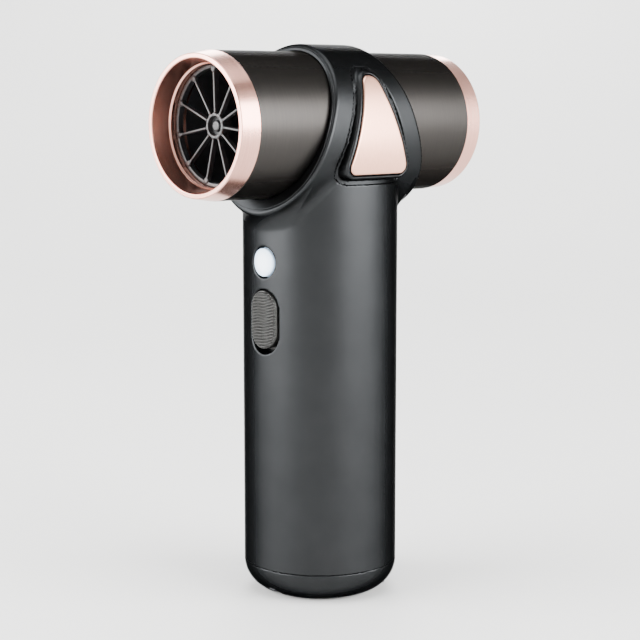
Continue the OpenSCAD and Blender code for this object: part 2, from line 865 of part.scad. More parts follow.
module cell_cap(z) {
    difference() {
        translate([0, 0, z]) cylinder(r = cell_ring + cell_d / 2 + 0.5, h = cap_t);
        place_charge_leads(lead_r + lead_gap);
        place_cells() translate([0, 0, z - 1]) cylinder(r = cell_d * 0.28, h = 6, $fn = 48);
        for (a = [30, 150, 270]) rotate([0, 0, a]) translate([boss_at, 0, z - 1])
            cylinder(r = boss_r + 0.5, h = 6, $fn = 48);
    }
}

// Nickel ring over the upper cap, with a weld pad down to each cell
module cell_tabs() {
    color("#c8c9c6") {
        place_cells() translate([0, 0, cells_top])
            cylinder(r = cell_d * 0.15, h = tab_z - cells_top + eps, $fn = 32);
        translate([0, 0, tab_z]) difference() {
            cylinder(r = cell_ring + 1.5, h = tab_t);
            translate([0, 0, -1]) cylinder(r = cell_ring - 1.5, h = 3);
        }
    }
}

module charge_board() {
    color("#1f5a3c") difference() {
        translate([0, 0, charge_z]) cylinder(r = cavity_r - spigot_wall - 1.4, h = charge_t);
        place_base_screws() translate([0, 0, 1]) cylinder(r = boss_r + 0.4, h = 30, $fn = 48);
    }
}

module port_outline(grow) {
    square([port_w - port_t, port_t + 2 * grow], center = true);
    for (s = [-1, 1]) translate([s * (port_w - port_t) / 2, 0]) circle(d = port_t + 2 * grow);
}

// Charging socket, mouth down in the middle of the base
module charge_port() {
    color("#aeb1b4") translate([0, 0, port_low]) difference() {
        linear_extrude(height = port_len) port_outline(0);
        translate([0, 0, -1]) linear_extrude(height = port_len - 0.5) difference() {
            port_outline(-port_wall);
            square(port_tongue, center = true);
        }
    }
}

module motor_leads() {
    color("#a33a32") place_motor_leads(lead_r, driver_top - 6, axis_h - motor_r + can_wall - 0.4);
}

module battery_leads() {
    color("#a33a32") for (s = [-1, 1]) translate([s * battery_lead_x, lead_y, tab_z + tab_t])
        cylinder(r = battery_lead_r, h = driver_low + 2 - tab_z - tab_t, $fn = 24);
}

// Upright stretch of each charge lead, past the cells
module place_charge_leads(r) {
    for (a = charge_lead_angles) rotate([0, 0, a])
        translate([charge_lead_at, 0, charge_z + charge_t])
            cylinder(r = r, h = charge_lead_top + 1 - charge_z - charge_t, $fn = 24);
}

// Each charge lead climbs from the charge board, then turns in to the driver board
module charge_leads() {
    color("#303030") {
        place_charge_leads(lead_r);
        for (a = charge_lead_angles)
            translate([charge_lead_at * cos(a), charge_lead_at * sin(a), charge_lead_top])
                rotate([90, 0, 0]) cylinder(r = lead_r - 0.1, $fn = 24,
                    h = charge_lead_at * sin(a) - driver_y - board_t);
    }
}

body_shell();
base_cap();
base_screws();
barrel();
outlet_ring();
intake_ring();
outlet_grille();
trim_left();
trim_right();
collar_screws();
fan_duct();
damper_rings();
motor_can();
motor_nose();
stator_core();
stator_windings();
bearing_intake();
bearing_outlet();
tail_cone();
motor_shaft();
rotor_magnet();
impeller();
nose_cap();
control_carrier();
power_button();
speed_slider();
control_board();
button_switch();
slide_switch();
switch_lever();
status_leds();
driver_board();
driver_parts();
board_header();
inner_chassis();
battery_cells();
cell_caps();
cell_tabs();
charge_board();
charge_port();
motor_leads();
battery_leads();
charge_leads();
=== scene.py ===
# %% The frame
import json
import math
import bpy
import numpy as np
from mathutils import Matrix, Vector


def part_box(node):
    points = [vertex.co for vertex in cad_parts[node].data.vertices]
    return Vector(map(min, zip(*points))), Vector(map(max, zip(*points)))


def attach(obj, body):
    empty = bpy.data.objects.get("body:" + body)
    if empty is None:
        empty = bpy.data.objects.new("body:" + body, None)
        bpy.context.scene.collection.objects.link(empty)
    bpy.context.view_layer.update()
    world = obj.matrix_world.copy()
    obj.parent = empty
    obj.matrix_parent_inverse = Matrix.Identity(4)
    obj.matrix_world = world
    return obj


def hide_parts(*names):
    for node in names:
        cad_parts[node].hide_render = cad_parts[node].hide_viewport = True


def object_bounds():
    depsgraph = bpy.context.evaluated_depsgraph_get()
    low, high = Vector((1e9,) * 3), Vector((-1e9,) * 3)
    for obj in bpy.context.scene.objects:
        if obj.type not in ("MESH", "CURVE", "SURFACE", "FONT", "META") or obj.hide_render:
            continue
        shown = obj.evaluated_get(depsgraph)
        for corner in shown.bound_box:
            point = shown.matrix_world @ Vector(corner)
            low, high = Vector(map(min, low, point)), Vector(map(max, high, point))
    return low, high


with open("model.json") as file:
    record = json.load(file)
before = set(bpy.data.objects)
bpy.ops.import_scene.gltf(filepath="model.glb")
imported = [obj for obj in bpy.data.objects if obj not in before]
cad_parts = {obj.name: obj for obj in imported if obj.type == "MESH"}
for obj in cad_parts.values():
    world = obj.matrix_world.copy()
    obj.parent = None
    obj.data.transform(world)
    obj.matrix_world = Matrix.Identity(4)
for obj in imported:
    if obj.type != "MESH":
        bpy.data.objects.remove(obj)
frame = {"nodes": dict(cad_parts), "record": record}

cad_low, cad_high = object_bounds()
print("CAD box, mm:", [round(1000 * v, 1) for v in (*cad_low, *cad_high)])

# %% [markdown]
# A cordless car dryer blower: a fan barrel lies across the top of a round
# battery handle, and a collar holds it. Everything here is placed from the
# CAD frame, so the first step is to read the sizes that the looks share.
# Working in millimetres keeps the numbers readable; they turn into metres in
# one place, where a mesh is made.

# %% Sizes of the blower, in millimetres
def span(node):
    """Lowest and highest corner of a CAD node, in millimetres."""
    low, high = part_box(node)
    return [1000 * v for v in low], [1000 * v for v in high]


barrel_low, barrel_high = span("barrel")
AXIS = (barrel_low[2] + barrel_high[2]) / 2
BARREL_R = (barrel_high[0] - barrel_low[0]) / 2
TUBE_END = barrel_high[1]
LIP = span("intake_ring")[1][1]
HANDLE_R = span("base_cap")[1][0]
SEAM = span("body_shell")[0][2]
TOP = 1000 * cad_high[2]
BUTTON_Z = (span("power_button")[0][2] + span("power_button")[1][2]) / 2
BUTTON_R = 3.6
SLIDER_Z = (span("speed_slider")[0][2] + span("speed_slider")[1][2]) / 2
PAD_LOW, PAD_HIGH = span("speed_slider")
FLANGE_RIM, SLIDER_TRAVEL = 0.9, 1.2
SLOT_GAP, SLOT_END = 0.35, 0.2
PAD_R = (PAD_HIGH[0] - PAD_LOW[0]) / 2 - FLANGE_RIM
PAD_LINE = (PAD_HIGH[2] - PAD_LOW[2]) / 2 - FLANGE_RIM - PAD_R
print(f"barrel axis {AXIS:.1f}, barrel radius {BARREL_R:.1f}, handle radius {HANDLE_R:.1f}")
print(f"button at {BUTTON_Z:.1f}, slider at {SLIDER_Z:.1f}, lips at {LIP:.1f} each way")

# %% [markdown]
# The camera stands in front of the outlet, turned towards the right side of
# the blower and a little above the middle. It is near, and its lens is long
# enough to fill the frame.

# %% Camera
AZIMUTH, ELEVATION, DISTANCE = math.radians(45.8), math.radians(7.98), 0.4326
centre = np.array([0, 0, TOP / 2000])
back = np.array([math.sin(AZIMUTH) * math.cos(ELEVATION),
                 -math.cos(AZIMUTH) * math.cos(ELEVATION), math.sin(ELEVATION)])
lens = bpy.data.cameras.new("product_camera")
lens.sensor_width, lens.lens = 36, 93.3
camera = bpy.data.objects.new("product_camera", lens)
camera.location = centre + DISTANCE * back
camera.rotation_euler = (math.pi / 2 - ELEVATION, 0, AZIMUTH)
bpy.context.scene.collection.objects.link(camera)
bpy.context.scene.camera = camera
print("camera at, mm:", (1000 * (centre + DISTANCE * back)).round(1))

# %% [markdown]
# Every finish below is a tree of nodes on one Principled shader. Two small
# helpers serve them all: one turns a screen colour into the linear light
# that the shader works in, and one adds a node with its settings and links.

# %% Colour and node helpers
def linear(hex_colour):
    """A screen colour such as 8a8d8f, as linear red, green, blue and alpha."""
    parts = [int(hex_colour[i:i + 2], 16) / 255 for i in (0, 2, 4)]
    return [c / 12.92 if c < 0.04045 else ((c + 0.055) / 1.055) ** 2.4 for c in parts] + [1.0]


def add(tree, kind, settings={}, links={}):
    """Adds one node. A setting is a socket's value, a stop list or a plain property."""
    made = tree.nodes.new("ShaderNode" + kind)
    for name, value in settings.items():
        if name == "stops":
            while len(made.color_ramp.elements) < len(value):
                made.color_ramp.elements.new(0.5)
            for stop, (place, hex_colour) in zip(made.color_ramp.elements, value):
                stop.position, stop.color = place, linear(hex_colour)
        elif name in made.inputs:
            made.inputs[name].default_value = value
        else:
            setattr(made, name, value)
    for name, source in links.items():
        tree.links.new(source, made.inputs[name])
    return made


def new_finish(name, **shader_values):
    """A material with a Principled shader and the object's own coordinates, in metres."""
    material = bpy.data.materials.new(name)
    material.use_nodes = True
    tree = material.node_tree
    shader = tree.nodes["Principled BSDF"]
    for socket, value in shader_values.items():
        shader.inputs[socket.replace("_", " ")].default_value = value
    place = add(tree, "TexCoord").outputs["Object"]
    return material, tree, shader, place


def mm(size):
    """Scale of a texture whose features are that many millimetres across."""
    return 1000 / size


FINISH = {}

# %% [markdown]
# The handle and collar are aluminium that was blasted with fine glass beads
# and then dyed dark grey in the anodising bath. Beads leave dents about
# 0.1 mm across, so the sheen is broad and soft, with no sparkle. The dye sits
# in the oxide, so the colour is almost even, with a faint cloudiness. A
# metal's colour is its reflection, so the shader is fully metallic and dark.
# The dye also drinks the light that leaves at a low angle, which a bare metal
# would throw back white, so the shader's edge tint is dark as well.

# %% Bead-blasted, anodised aluminium
DYED_EDGE = (0.15, 0.15, 0.15, 1.0)
BARE_EDGE = (1.0, 1.0, 1.0, 1.0)


def bead_blasted_anodised(name, light, dark, grain=0.28, depth=0.012):
    """Satin metal. The dents are drawn 0.28 mm across, coarser than real ones, so that they show."""
    material, tree, shader, place = new_finish(name, Metallic=1.0, Roughness=0.36,
                                               Specular_Tint=DYED_EDGE)
    cloud = add(tree, "TexNoise", {"Scale": mm(9), "Detail": 2.0}, {"Vector": place})
    tint = add(tree, "ValToRGB", {"stops": [(0.3, dark), (0.7, light)]}, {"Fac": cloud.outputs["Fac"]})
    dents = add(tree, "TexNoise", {"Scale": mm(grain), "Detail": 1.0}, {"Vector": place})
    satin = add(tree, "MapRange", {"To Min": 0.31, "To Max": 0.38}, {"Value": dents.outputs["Fac"]})
    relief = add(tree, "Bump", {"Strength": 0.35, "Distance": depth / 1000},
                 {"Height": dents.outputs["Fac"]})
    tree.links.new(tint.outputs["Color"], shader.inputs["Base Color"])
    tree.links.new(satin.outputs["Result"], shader.inputs["Roughness"])
    tree.links.new(relief.outputs["Normal"], shader.inputs["Normal"])
    return material


FINISH["gunmetal"] = bead_blasted_anodised("anodised_aluminium_bead_blasted", "2b2c2d", "28292a")
print("handle metal, linear:", [round(v, 3) for v in linear("2b2c2d")[:3]])

# %% [markdown]
# Turned parts carry the marks of the tool. The barrel tube and the end rings
# were cut on a lathe, which leaves fine lines that run round the barrel's
# axis. The lines are a noise that is stretched along the cut: short along the
# barrel and long across it. Real feed marks are 0.05 mm apart; they are
# drawn about 0.2 mm apart to be seen at all.

# %% Turned, anodised aluminium
def turned_anodised(name, light, dark, rough=(0.2, 0.3), feed=0.2, depth=0.002, seen=0.08, long=60,
                    edge=BARE_EDGE):
    """Metal with lathe lines round the barrel's axis, which runs along Y."""
    material, tree, shader, place = new_finish(name, Metallic=1.0, Roughness=sum(rough) / 2,
                                               Specular_Tint=edge)
    along = add(tree, "Mapping", {"Scale": (1 / long, 1, 1 / long)}, {"Vector": place})
    lines = add(tree, "TexNoise", {"Scale": mm(feed), "Detail": 2.0}, {"Vector": along.outputs["Vector"]})
    tint = add(tree, "ValToRGB", {"stops": [(0.3, dark), (0.7, light)]}, {"Fac": lines.outputs["Fac"]})
    sheen = add(tree, "MapRange", {"To Min": rough[0], "To Max": rough[1]},
                {"Value": lines.outputs["Fac"]})
    relief = add(tree, "Bump", {"Strength": seen, "Distance": depth / 1000},
                 {"Height": lines.outputs["Fac"]})
    tree.links.new(tint.outputs["Color"], shader.inputs["Base Color"])
    tree.links.new(sheen.outputs["Result"], shader.inputs["Roughness"])
    tree.links.new(relief.outputs["Normal"], shader.inputs["Normal"])
    return material


# The barrel is a shade lighter than the handle and satin; the rings are dyed
# rose gold, brighter and smoother, so that lamps draw crisp streaks on them.
FINISH["gunmetal_barrel"] = turned_anodised("anodised_aluminium_turned_grey", "393735", "353332",
                                            rough=(0.34, 0.39), edge=DYED_EDGE)
FINISH["rose_gold"] = turned_anodised("anodised_aluminium_turned_rose_gold", "d9a596", "cd9788",
                                      rough=(0.2, 0.27))
FINISH["bright_aluminium"] = turned_anodised("aluminium_turned_polished", "d6d9dc", "c4c8cc",
                                             rough=(0.14, 0.22))
print("turned finishes:", 3)

# %% [markdown]
# The side trim plates are stamped aluminium in the same rose gold dye. They
# were brushed up and down before dyeing, so the grain runs along Z and the
# light spreads sideways in one soft band.

# %% Brushed, anodised aluminium for the trim
def brushed_anodised(name, light, dark):
    """Fine upright brush lines, about 0.12 mm apart and many millimetres long."""
    material, tree, shader, place = new_finish(name, Metallic=1.0, Roughness=0.3)
    along = add(tree, "Mapping", {"Scale": (1, 1, 1 / 40)}, {"Vector": place})
    lines = add(tree, "TexNoise", {"Scale": mm(0.12), "Detail": 2.0}, {"Vector": along.outputs["Vector"]})
    tint = add(tree, "ValToRGB", {"stops": [(0.3, dark), (0.7, light)]}, {"Fac": lines.outputs["Fac"]})
    sheen = add(tree, "MapRange", {"To Min": 0.26, "To Max": 0.36}, {"Value": lines.outputs["Fac"]})
    relief = add(tree, "Bump", {"Strength": 0.12, "Distance": 0.002 / 1000},
                 {"Height": lines.outputs["Fac"]})
    tree.links.new(tint.outputs["Color"], shader.inputs["Base Color"])
    tree.links.new(sheen.outputs["Result"], shader.inputs["Roughness"])
    tree.links.new(relief.outputs["Normal"], shader.inputs["Normal"])
    return material


FINISH["rose_gold_trim"] = brushed_anodised("anodised_aluminium_brushed_rose_gold", "e6b09a", "dba38c")
print("trim finish:", FINISH["rose_gold_trim"].name)

# %% [markdown]
# Plastic and rubber parts take the skin of their mould. Spark-eroded moulds
# leave a pebbled skin; the fan's mould is polished, so its blades show thin
# glints. Both are one recipe with its own colours, roughness and grain.
# Plastics reflect about four per cent, which is an IOR near 1.5.

# %% Moulded plastic and rubber
def moulded_skin(name, light, dark, rough, grain, depth, ior=1.5, **shader_values):
    """Moulded skin: a pebble of that many millimetres, and a slow drift of shade."""
    material, tree, shader, place = new_finish(name, IOR=ior, **shader_values)
    drift = add(tree, "TexNoise", {"Scale": mm(6), "Detail": 3.0}, {"Vector": place})
    tint = add(tree, "ValToRGB", {"stops": [(0.3, dark), (0.7, light)]}, {"Fac": drift.outputs["Fac"]})
    pebble = add(tree, "TexVoronoi", {"Scale": mm(grain)}, {"Vector": place})
    sheen = add(tree, "MapRange", {"To Min": rough - 0.05, "To Max": rough + 0.07},
                {"Value": pebble.outputs["Distance"]})
    relief = add(tree, "Bump", {"Strength": 0.4, "Distance": depth / 1000},
                 {"Height": pebble.outputs["Distance"]})
    tree.links.new(tint.outputs["Color"], shader.inputs["Base Color"])
    tree.links.new(sheen.outputs["Result"], shader.inputs["Roughness"])
    tree.links.new(relief.outputs["Normal"], shader.inputs["Normal"])
    return material


FINISH["black_plastic"] = moulded_skin("abs_moulded_spark_eroded_black", "1c1d1f", "151617", 0.4, 0.25, 0.01)
FINISH["fan_black"] = moulded_skin("nylon_glass_filled_moulded_black", "1d1e20", "141516", 0.26, 0.5, 0.004)
SILICONE_IOR = 1.41
FINISH["rubber"] = moulded_skin("silicone_rubber_moulded_black", "2a2b2d", "202123", 0.62, 0.3, 0.02,
                                SILICONE_IOR)
FINISH["lead_red"] = moulded_skin("silicone_insulation_extruded_red", "a33a32", "8f2f29", 0.45, 0.4, 0.01,
                                  SILICONE_IOR)
FINISH["lead_black"] = moulded_skin("silicone_insulation_extruded_black", "333436", "262729", 0.45, 0.4,
                                    0.01, SILICONE_IOR)
FINISH["slider_grey"] = moulded_skin("abs_moulded_satin_lacquered_grey", "363635", "30302f", 0.4, 0.2, 0.006,
                                     Metallic=0.7)
FINISH["cell_wrap"] = moulded_skin("pvc_shrink_wrap_blue", "3272b4", "2b66a4", 0.3, 1.5, 0.03, ior=1.54)
print("moulded finishes:", 7)

# %% [markdown]
# The power button is a frosted polycarbonate cap with a cool white lamp
# behind it. The frosting spreads the lamp, so the middle is a touch brighter
# than the rim. The glow is the shader's own emission, shaded by the distance
# from the button's centre.

# %% Frosted, lit polycarbonate
def frosted_lit(name, middle, rim, reach):
    """Milky cap that glows. reach is where the rim's shade is met, in millimetres."""
    material, tree, shader, place = new_finish(name, IOR=1.58, Roughness=0.35, Emission_Strength=0.75)
    from_middle = add(tree, "Mapping", {"vector_type": "POINT", "Location": (0, 0, -BUTTON_Z / 1000),
                                        "Scale": (1, 0, 1)}, {"Vector": place})
    away = add(tree, "VectorMath", {"operation": "LENGTH"}, {0: from_middle.outputs["Vector"]})
    share = add(tree, "MapRange", {"From Max": reach / 1000}, {"Value": away.outputs["Value"]})
    glow = add(tree, "ValToRGB", {"stops": [(0.45, middle), (1.0, rim)]}, {"Fac": share.outputs["Result"]})
    frost = add(tree, "TexNoise", {"Scale": mm(0.2)}, {"Vector": place})
    relief = add(tree, "Bump", {"Strength": 0.2, "Distance": 0.01 / 1000}, {"Height": frost.outputs["Fac"]})
    tree.links.new(glow.outputs["Color"], shader.inputs["Base Color"])
    tree.links.new(glow.outputs["Color"], shader.inputs["Emission Color"])
    tree.links.new(relief.outputs["Normal"], shader.inputs["Normal"])
    return material


FINISH["lens"] = frosted_lit("polycarbonate_frosted_lit", "e6f0fb", "aec4da", BUTTON_R)
print("lamp colour, linear:", [round(v, 2) for v in linear("e6f0fb")[:3]])

# %% [markdown]
# Inside are the metals of a motor and its electronics. They are seen only
# when the blower is taken apart, but each still gets its own surface: ground
# steel has short scratches, laminations are 0.35 mm sheets stacked along the
# shaft, and wire lies in windings 0.4 mm apart.

# %% Metals of the motor and the battery
def scratched_metal(name, light, dark, rough, scratch, stretch):
    """Ground or plated metal: fine scratches, drawn out by stretch along X, Y and Z."""
    material, tree, shader, place = new_finish(name, Metallic=1.0)
    along = add(tree, "Mapping", {"Scale": stretch}, {"Vector": place})
    lines = add(tree, "TexNoise", {"Scale": mm(scratch), "Detail": 3.0}, {"Vector": along.outputs["Vector"]})
    tint = add(tree, "ValToRGB", {"stops": [(0.3, dark), (0.7, light)]}, {"Fac": lines.outputs["Fac"]})
    sheen = add(tree, "MapRange", {"To Min": rough - 0.06, "To Max": rough + 0.1},
                {"Value": lines.outputs["Fac"]})
    tree.links.new(tint.outputs["Color"], shader.inputs["Base Color"])
    tree.links.new(sheen.outputs["Result"], shader.inputs["Roughness"])
    return material


def layered_metal(name, light, dark, rough, pitch, axis):
    """Sheets or wires side by side: ridges along X, Y or Z, pitch millimetres apart."""
    material, tree, shader, place = new_finish(name, Metallic=1.0, Roughness=rough)
    # The wave's period is 0.314 of its unit, so pitch is turned to that scale.
    ridges = add(tree, "TexWave", {"bands_direction": axis, "Scale": 0.314 * mm(pitch), "Distortion": 0.3},
                 {"Vector": place})
    tint = add(tree, "ValToRGB", {"stops": [(0.1, dark), (0.6, light)]}, {"Fac": ridges.outputs["Fac"]})
    relief = add(tree, "Bump", {"Strength": 0.6, "Distance": pitch / 8000},
                 {"Height": ridges.outputs["Fac"]})
    tree.links.new(tint.outputs["Color"], shader.inputs["Base Color"])
    tree.links.new(relief.outputs["Normal"], shader.inputs["Normal"])
    return material


FINISH["steel"] = scratched_metal("steel_ground", "c8cacc", "aeb1b4", 0.24, 0.15, (1, 0.05, 1))
FINISH["dark_steel"] = scratched_metal("steel_black_oxide", "4a4b4d", "323335", 0.38, 0.3, (1, 1, 1))
FINISH["nickel"] = scratched_metal("nickel_plated_strip", "d0cfc8", "b9b8b0", 0.2, 0.4, (0.2, 1, 1))
FINISH["lamination"] = layered_metal("silicon_steel_laminated", "8e9194", "55585b", 0.35, 0.35, "Y")
FINISH["copper"] = layered_metal("copper_wire_enamelled_wound", "c4753a", "7c3f1a", 0.25, 0.4, "Y")
print("inner metals:", 5)

# %% [markdown]
# Circuit boards are glass cloth in resin under green solder mask. The mask is
# glossy and shows the cloth and the copper tracks below as a faint relief, so
# the tracks are drawn as a brick pattern with wide gaps, 1.2 mm apart.

# %% Circuit board
def solder_masked_board(name):
    """Green glossy mask over tracks."""
    material, tree, shader, place = new_finish(name, IOR=1.55, Roughness=0.28)
    flat = add(tree, "Mapping", {"Rotation": (math.pi / 2, 0, 0)}, {"Vector": place})
    tracks = add(tree, "TexBrick", {"Color1": linear("1f5a3c"), "Color2": linear("236544"),
                                    "Mortar": linear("2f7a52"), "Scale": mm(2.4), "Mortar Size": 0.06},
                 {"Vector": flat.outputs["Vector"]})
    relief = add(tree, "Bump", {"Strength": 0.3, "Distance": 0.03 / 1000}, {"Height": tracks.outputs["Fac"]})
    tree.links.new(tracks.outputs["Color"], shader.inputs["Base Color"])
    tree.links.new(relief.outputs["Normal"], shader.inputs["Normal"])
    return material


FINISH["board"] = solder_masked_board("epoxy_glass_board_solder_masked")
print("finishes so far:", len(FINISH))

# %% [markdown]
# A piece here is a mesh whose points and outward directions are worked out,
# not sculpted. Giving Blender those directions as custom normals makes a
# small fillet catch the light as a real one does, without thousands of faces.

# %% From points to a piece on its body
def add_piece(name, points, faces, body, slot, finish=None, normals=None, stands_for=()):
    """Makes one piece from points in millimetres. It rides on a body and may stand for CAD nodes."""
    mesh = bpy.data.meshes.new(name)
    mesh.from_pydata((np.asarray(points) / 1000).tolist(), [], [list(map(int, f)) for f in faces])
    mesh.polygons.foreach_set("use_smooth", np.ones(len(mesh.polygons), bool))
    if normals is not None:
        mesh.normals_split_custom_set_from_vertices(np.asarray(normals).tolist())
    mesh.materials.append(finish or FINISH[slot])
    piece = bpy.data.objects.new(name, mesh)
    bpy.context.scene.collection.objects.link(piece)
    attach(piece, body)
    if stands_for:
        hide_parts(*stands_for)
    print(f"{name}: {len(mesh.polygons)} faces")
    return piece


# %% [markdown]
# Round pieces are turned, as on a lathe: a cross-section goes round an axis.
# The section is a list of corners, each with its own fillet, because no
# turned edge is ever quite sharp. Corners run anticlockwise when the distance
# along the axis is drawn to the right and the radius is drawn upwards.

# %% Turning a section with filleted corners
def filleted(corners, steps=5):
    """Points and outward directions along a closed section of (along, radius, fillet)."""
    points, outward = [], []
    places = np.array([c[:2] for c in corners], float)
    for i, (_, _, fillet) in enumerate(corners):
        before, here, after = places[i - 1], places[i], places[(i + 1) % len(places)]
        come, go = here - before, after - here
        room = 0.48 * min(np.hypot(*come), np.hypot(*go))
        come, go = come / np.hypot(*come), go / np.hypot(*go)
        out_a, out_b = np.array([come[1], -come[0]]), np.array([go[1], -go[0]])
        turn = math.acos(np.clip(come @ go, -1, 1))
        if here[1] < 1e-6 or turn < 0.02:
            points.append(here)
            outward.append(out_b if before[1] < 1e-6 else out_a)
            continue
        cut = min(fillet * math.tan(turn / 2), room)
        radius = cut / math.tan(turn / 2)
        side = 1 if come[0] * go[1] - come[1] * go[0] > 0 else -1
        middle = here - come * cut - side * out_a * radius
        for k in range(steps + 1):
            share = k / steps
            out = out_a * math.sin((1 - share) * turn) + out_b * math.sin(share * turn)
            out = out / np.hypot(*out)
            points.append(middle + side * out * radius)
            outward.append(out)
    return np.array(points), np.array(outward)


def turned(name, corners, body, slot, along="Y", around=160, **more):
    """Turns a section about the barrel's axis (Y, or -Y for the outlet), or about the handle's (Z)."""
    section, outward = filleted(corners)
    angles = np.linspace(0, 2 * np.pi, around, endpoint=False)
    rings = len(section)

    def placed(pairs, shift):
        s, r = pairs[None, :, 0], pairs[None, :, 1]
        u, v = r * np.sin(angles)[:, None], r * np.cos(angles)[:, None]
        s = s + 0 * u
        if along == "Z":
            return np.stack([v, u, s], -1).reshape(-1, 3)
        if along == "-Y":
            return np.stack([-u, -s, v + shift], -1).reshape(-1, 3)
        return np.stack([u, s, v + shift], -1).reshape(-1, 3)

    points, normals = placed(section, AXIS), placed(outward, 0.0)
    on_axis = section[:, 1] < 1e-6
    number = np.arange(len(points)).reshape(around, rings)
    number[:, on_axis] = number[0, on_axis]
    faces = []
    for i in range(around):
        for k in range(rings):
            j, m = (i + 1) % around, (k + 1) % rings
            face = [number[i, k], number[i, m], number[j, m], number[j, k]]
            face = [f for n, f in enumerate(face) if f != face[n - 1]]
            if len(face) > 2 and not (on_axis[k] and on_axis[m]):
                faces.append(face)
    used = np.unique(number)
    fresh = np.full(len(points), -1)
    fresh[used] = np.arange(len(used))
    faces = [[fresh[f] for f in face] for face in faces]
    return add_piece(name, points[used], faces, body, slot, normals=normals[used], **more)


# %% [markdown]
# Moulded and machined shapes that flow into one another are harder to cut
# with booleans, because a bevel rarely survives where two curved walls meet.
# Here such a shape is a distance: a function that says how far each point is
# outside it, in millimetres, and below zero inside. Adding and cutting
# shapes with a fillet is then one line of arithmetic.

# %% Adding and cutting with fillets
def melt(a, b, fillet):
    """Both shapes, with a soft inside corner."""
    near = np.maximum(fillet - np.abs(a - b), 0) / fillet
    return np.minimum(a, b) - near * near * fillet / 4


def carve(a, b, fillet):
    """What is in both shapes, with a rounded edge. Carving with -hole cuts the hole."""
    return -melt(-a, -b, fillet)


print("a 1 mm fillet lifts the value at a sharp edge by, mm:", carve(0.0, 0.0, 1.0))


# %% [markdown]
# To become a mesh, the distance is read on a grid. Each cell that the
# surface crosses gets one point, at the mean of its crossings, and each
# crossed grid edge gets a face. The points are then slid onto the surface
# along its slope, which is also where their normals come from.

# %% From a distance to a piece
def slope(shape, points, reach=0.02):
    """At each point, the unit direction in which the distance grows, and that growth itself."""
    steps = []
    for k in range(3):
        nudge = np.zeros(3)
        nudge[k] = reach
        ahead, behind = (points + nudge).T, (points - nudge).T
        steps.append((shape(*ahead) - shape(*behind)) / (2 * reach))
    grown = np.stack(steps, -1)
    return grown / np.maximum(np.linalg.norm(grown, axis=1, keepdims=True), 1e-9), grown


def moulded(name, shape, xs, ys, zs, body, slot, **more):
    """Meshes a shape on the grid of lines xs, ys and zs."""
    grid = [np.asarray(a, float) for a in (xs, ys, zs)]
    size = [len(a) for a in grid]
    value = np.empty(size)
    for first in range(0, size[2], 24):
        part = slice(first, first + 24)
        value[:, :, part] = shape(grid[0][:, None, None], grid[1][None, :, None], grid[2][None, None, part])
    inside = value < 0
    cells, crossings, quads = [], [], []
    for axis in range(3):
        other = [k for k in range(3) if k != axis]
        ahead = [slice(None)] * 3
        here = [slice(None)] * 3
        ahead[axis], here[axis] = slice(1, None), slice(None, -1)
        at = np.argwhere(inside[tuple(here)] != inside[tuple(ahead)])
        keep = np.all((at[:, other] > 0) & (at[:, other] < np.array(size)[other] - 1), axis=1)
        at = at[keep]
        nxt = at.copy()
        nxt[:, axis] += 1
        a, b = value[tuple(at.T)], value[tuple(nxt.T)]
        place = np.stack([grid[k][at[:, k]] for k in range(3)], -1)
        step = grid[axis][nxt[:, axis]] - grid[axis][at[:, axis]]
        place[:, axis] += step * a / (a - b)
        corner = []
        for du, dv in ((-1, -1), (0, -1), (0, 0), (-1, 0)):
            cell = at.copy()
            cell[:, other[0]] += du
            cell[:, other[1]] += dv
            corner.append(np.ravel_multi_index(tuple(cell.T), size))
        corner = np.stack(corner, -1)
        cells.append(corner.reshape(-1))
        crossings.append(np.repeat(place, 4, axis=0))
        swap = (a < 0) == (axis == 1)
        quads.append(np.where(swap[:, None], corner[:, ::-1], corner))
    cells, crossings, quads = map(np.concatenate, (cells, crossings, quads))
    used, back_to = np.unique(cells, return_inverse=True)
    count = np.bincount(back_to)
    points = np.stack([np.bincount(back_to, crossings[:, k]) / count for k in range(3)], -1)
    for _ in range(4):
        way, grown = slope(shape, points)
        steep = np.maximum(np.linalg.norm(grown, axis=1), 0.3)
        points = points - way * np.clip(shape(*points.T) / steep, -0.2, 0.2)[:, None]
    normals = slope(shape, points)[0]
    faces = np.searchsorted(used, quads)
    return add_piece(name, points, faces, body, slot, normals=normals, **more)


def lines(*parts):
    """Grid lines from (from, to, spacing) parts, joined end to end."""
    found = [np.linspace(a, b, round((b - a) / s), endpoint=False) for a, b, s in parts]
    return np.concatenate([*found, [parts[-1][1]]])


print("shape tools ready")

# %% [markdown]
# The side trim sits in a raised island on each side of the collar. Its
# outline is a tall rounded triangle, and its face is one large arc that
# follows the collar above the axis and stands nearly upright below. Island,
# pocket and plate all use these two distances, so they always fit.

# %% Outline and face of the side trim
TRIM_BOTTOM = -(span("trim_right")[1][2] - span("trim_right")[0][2]) / 2
TRIM_OUT = span("trim_right")[1][0]
TILT_COS, TILT_SIN = math.cos(math.radians(19.2)), math.sin(math.radians(19.2))
TRIM_TOP_R, TRIM_LOW_R, TRIM_LOW_Y = 3, 2, 7.8
FACE_BACK, FACE_LOW = 13.8, 4.6
PLATE_PROUD = 0.15


def trim_outline(y, up):
    """Distance outside the triangle; up is the height above the barrel's axis."""
    across, over, under = np.abs(y), up + TRIM_BOTTOM + TRIM_TOP_R, up - TRIM_BOTTOM - TRIM_LOW_R
    top = np.hypot(across, over) - TRIM_TOP_R
    side = TILT_COS * across + TILT_SIN * over - TRIM_TOP_R
    side = np.where(TILT_COS * over > TILT_SIN * across, top, side)
    beside = across - TRIM_LOW_Y
    corner = (beside > 0) & (TILT_COS * under < TILT_SIN * beside)
    return np.where(corner, np.hypot(beside, under) - TRIM_LOW_R, np.maximum(side, TRIM_BOTTOM - up))


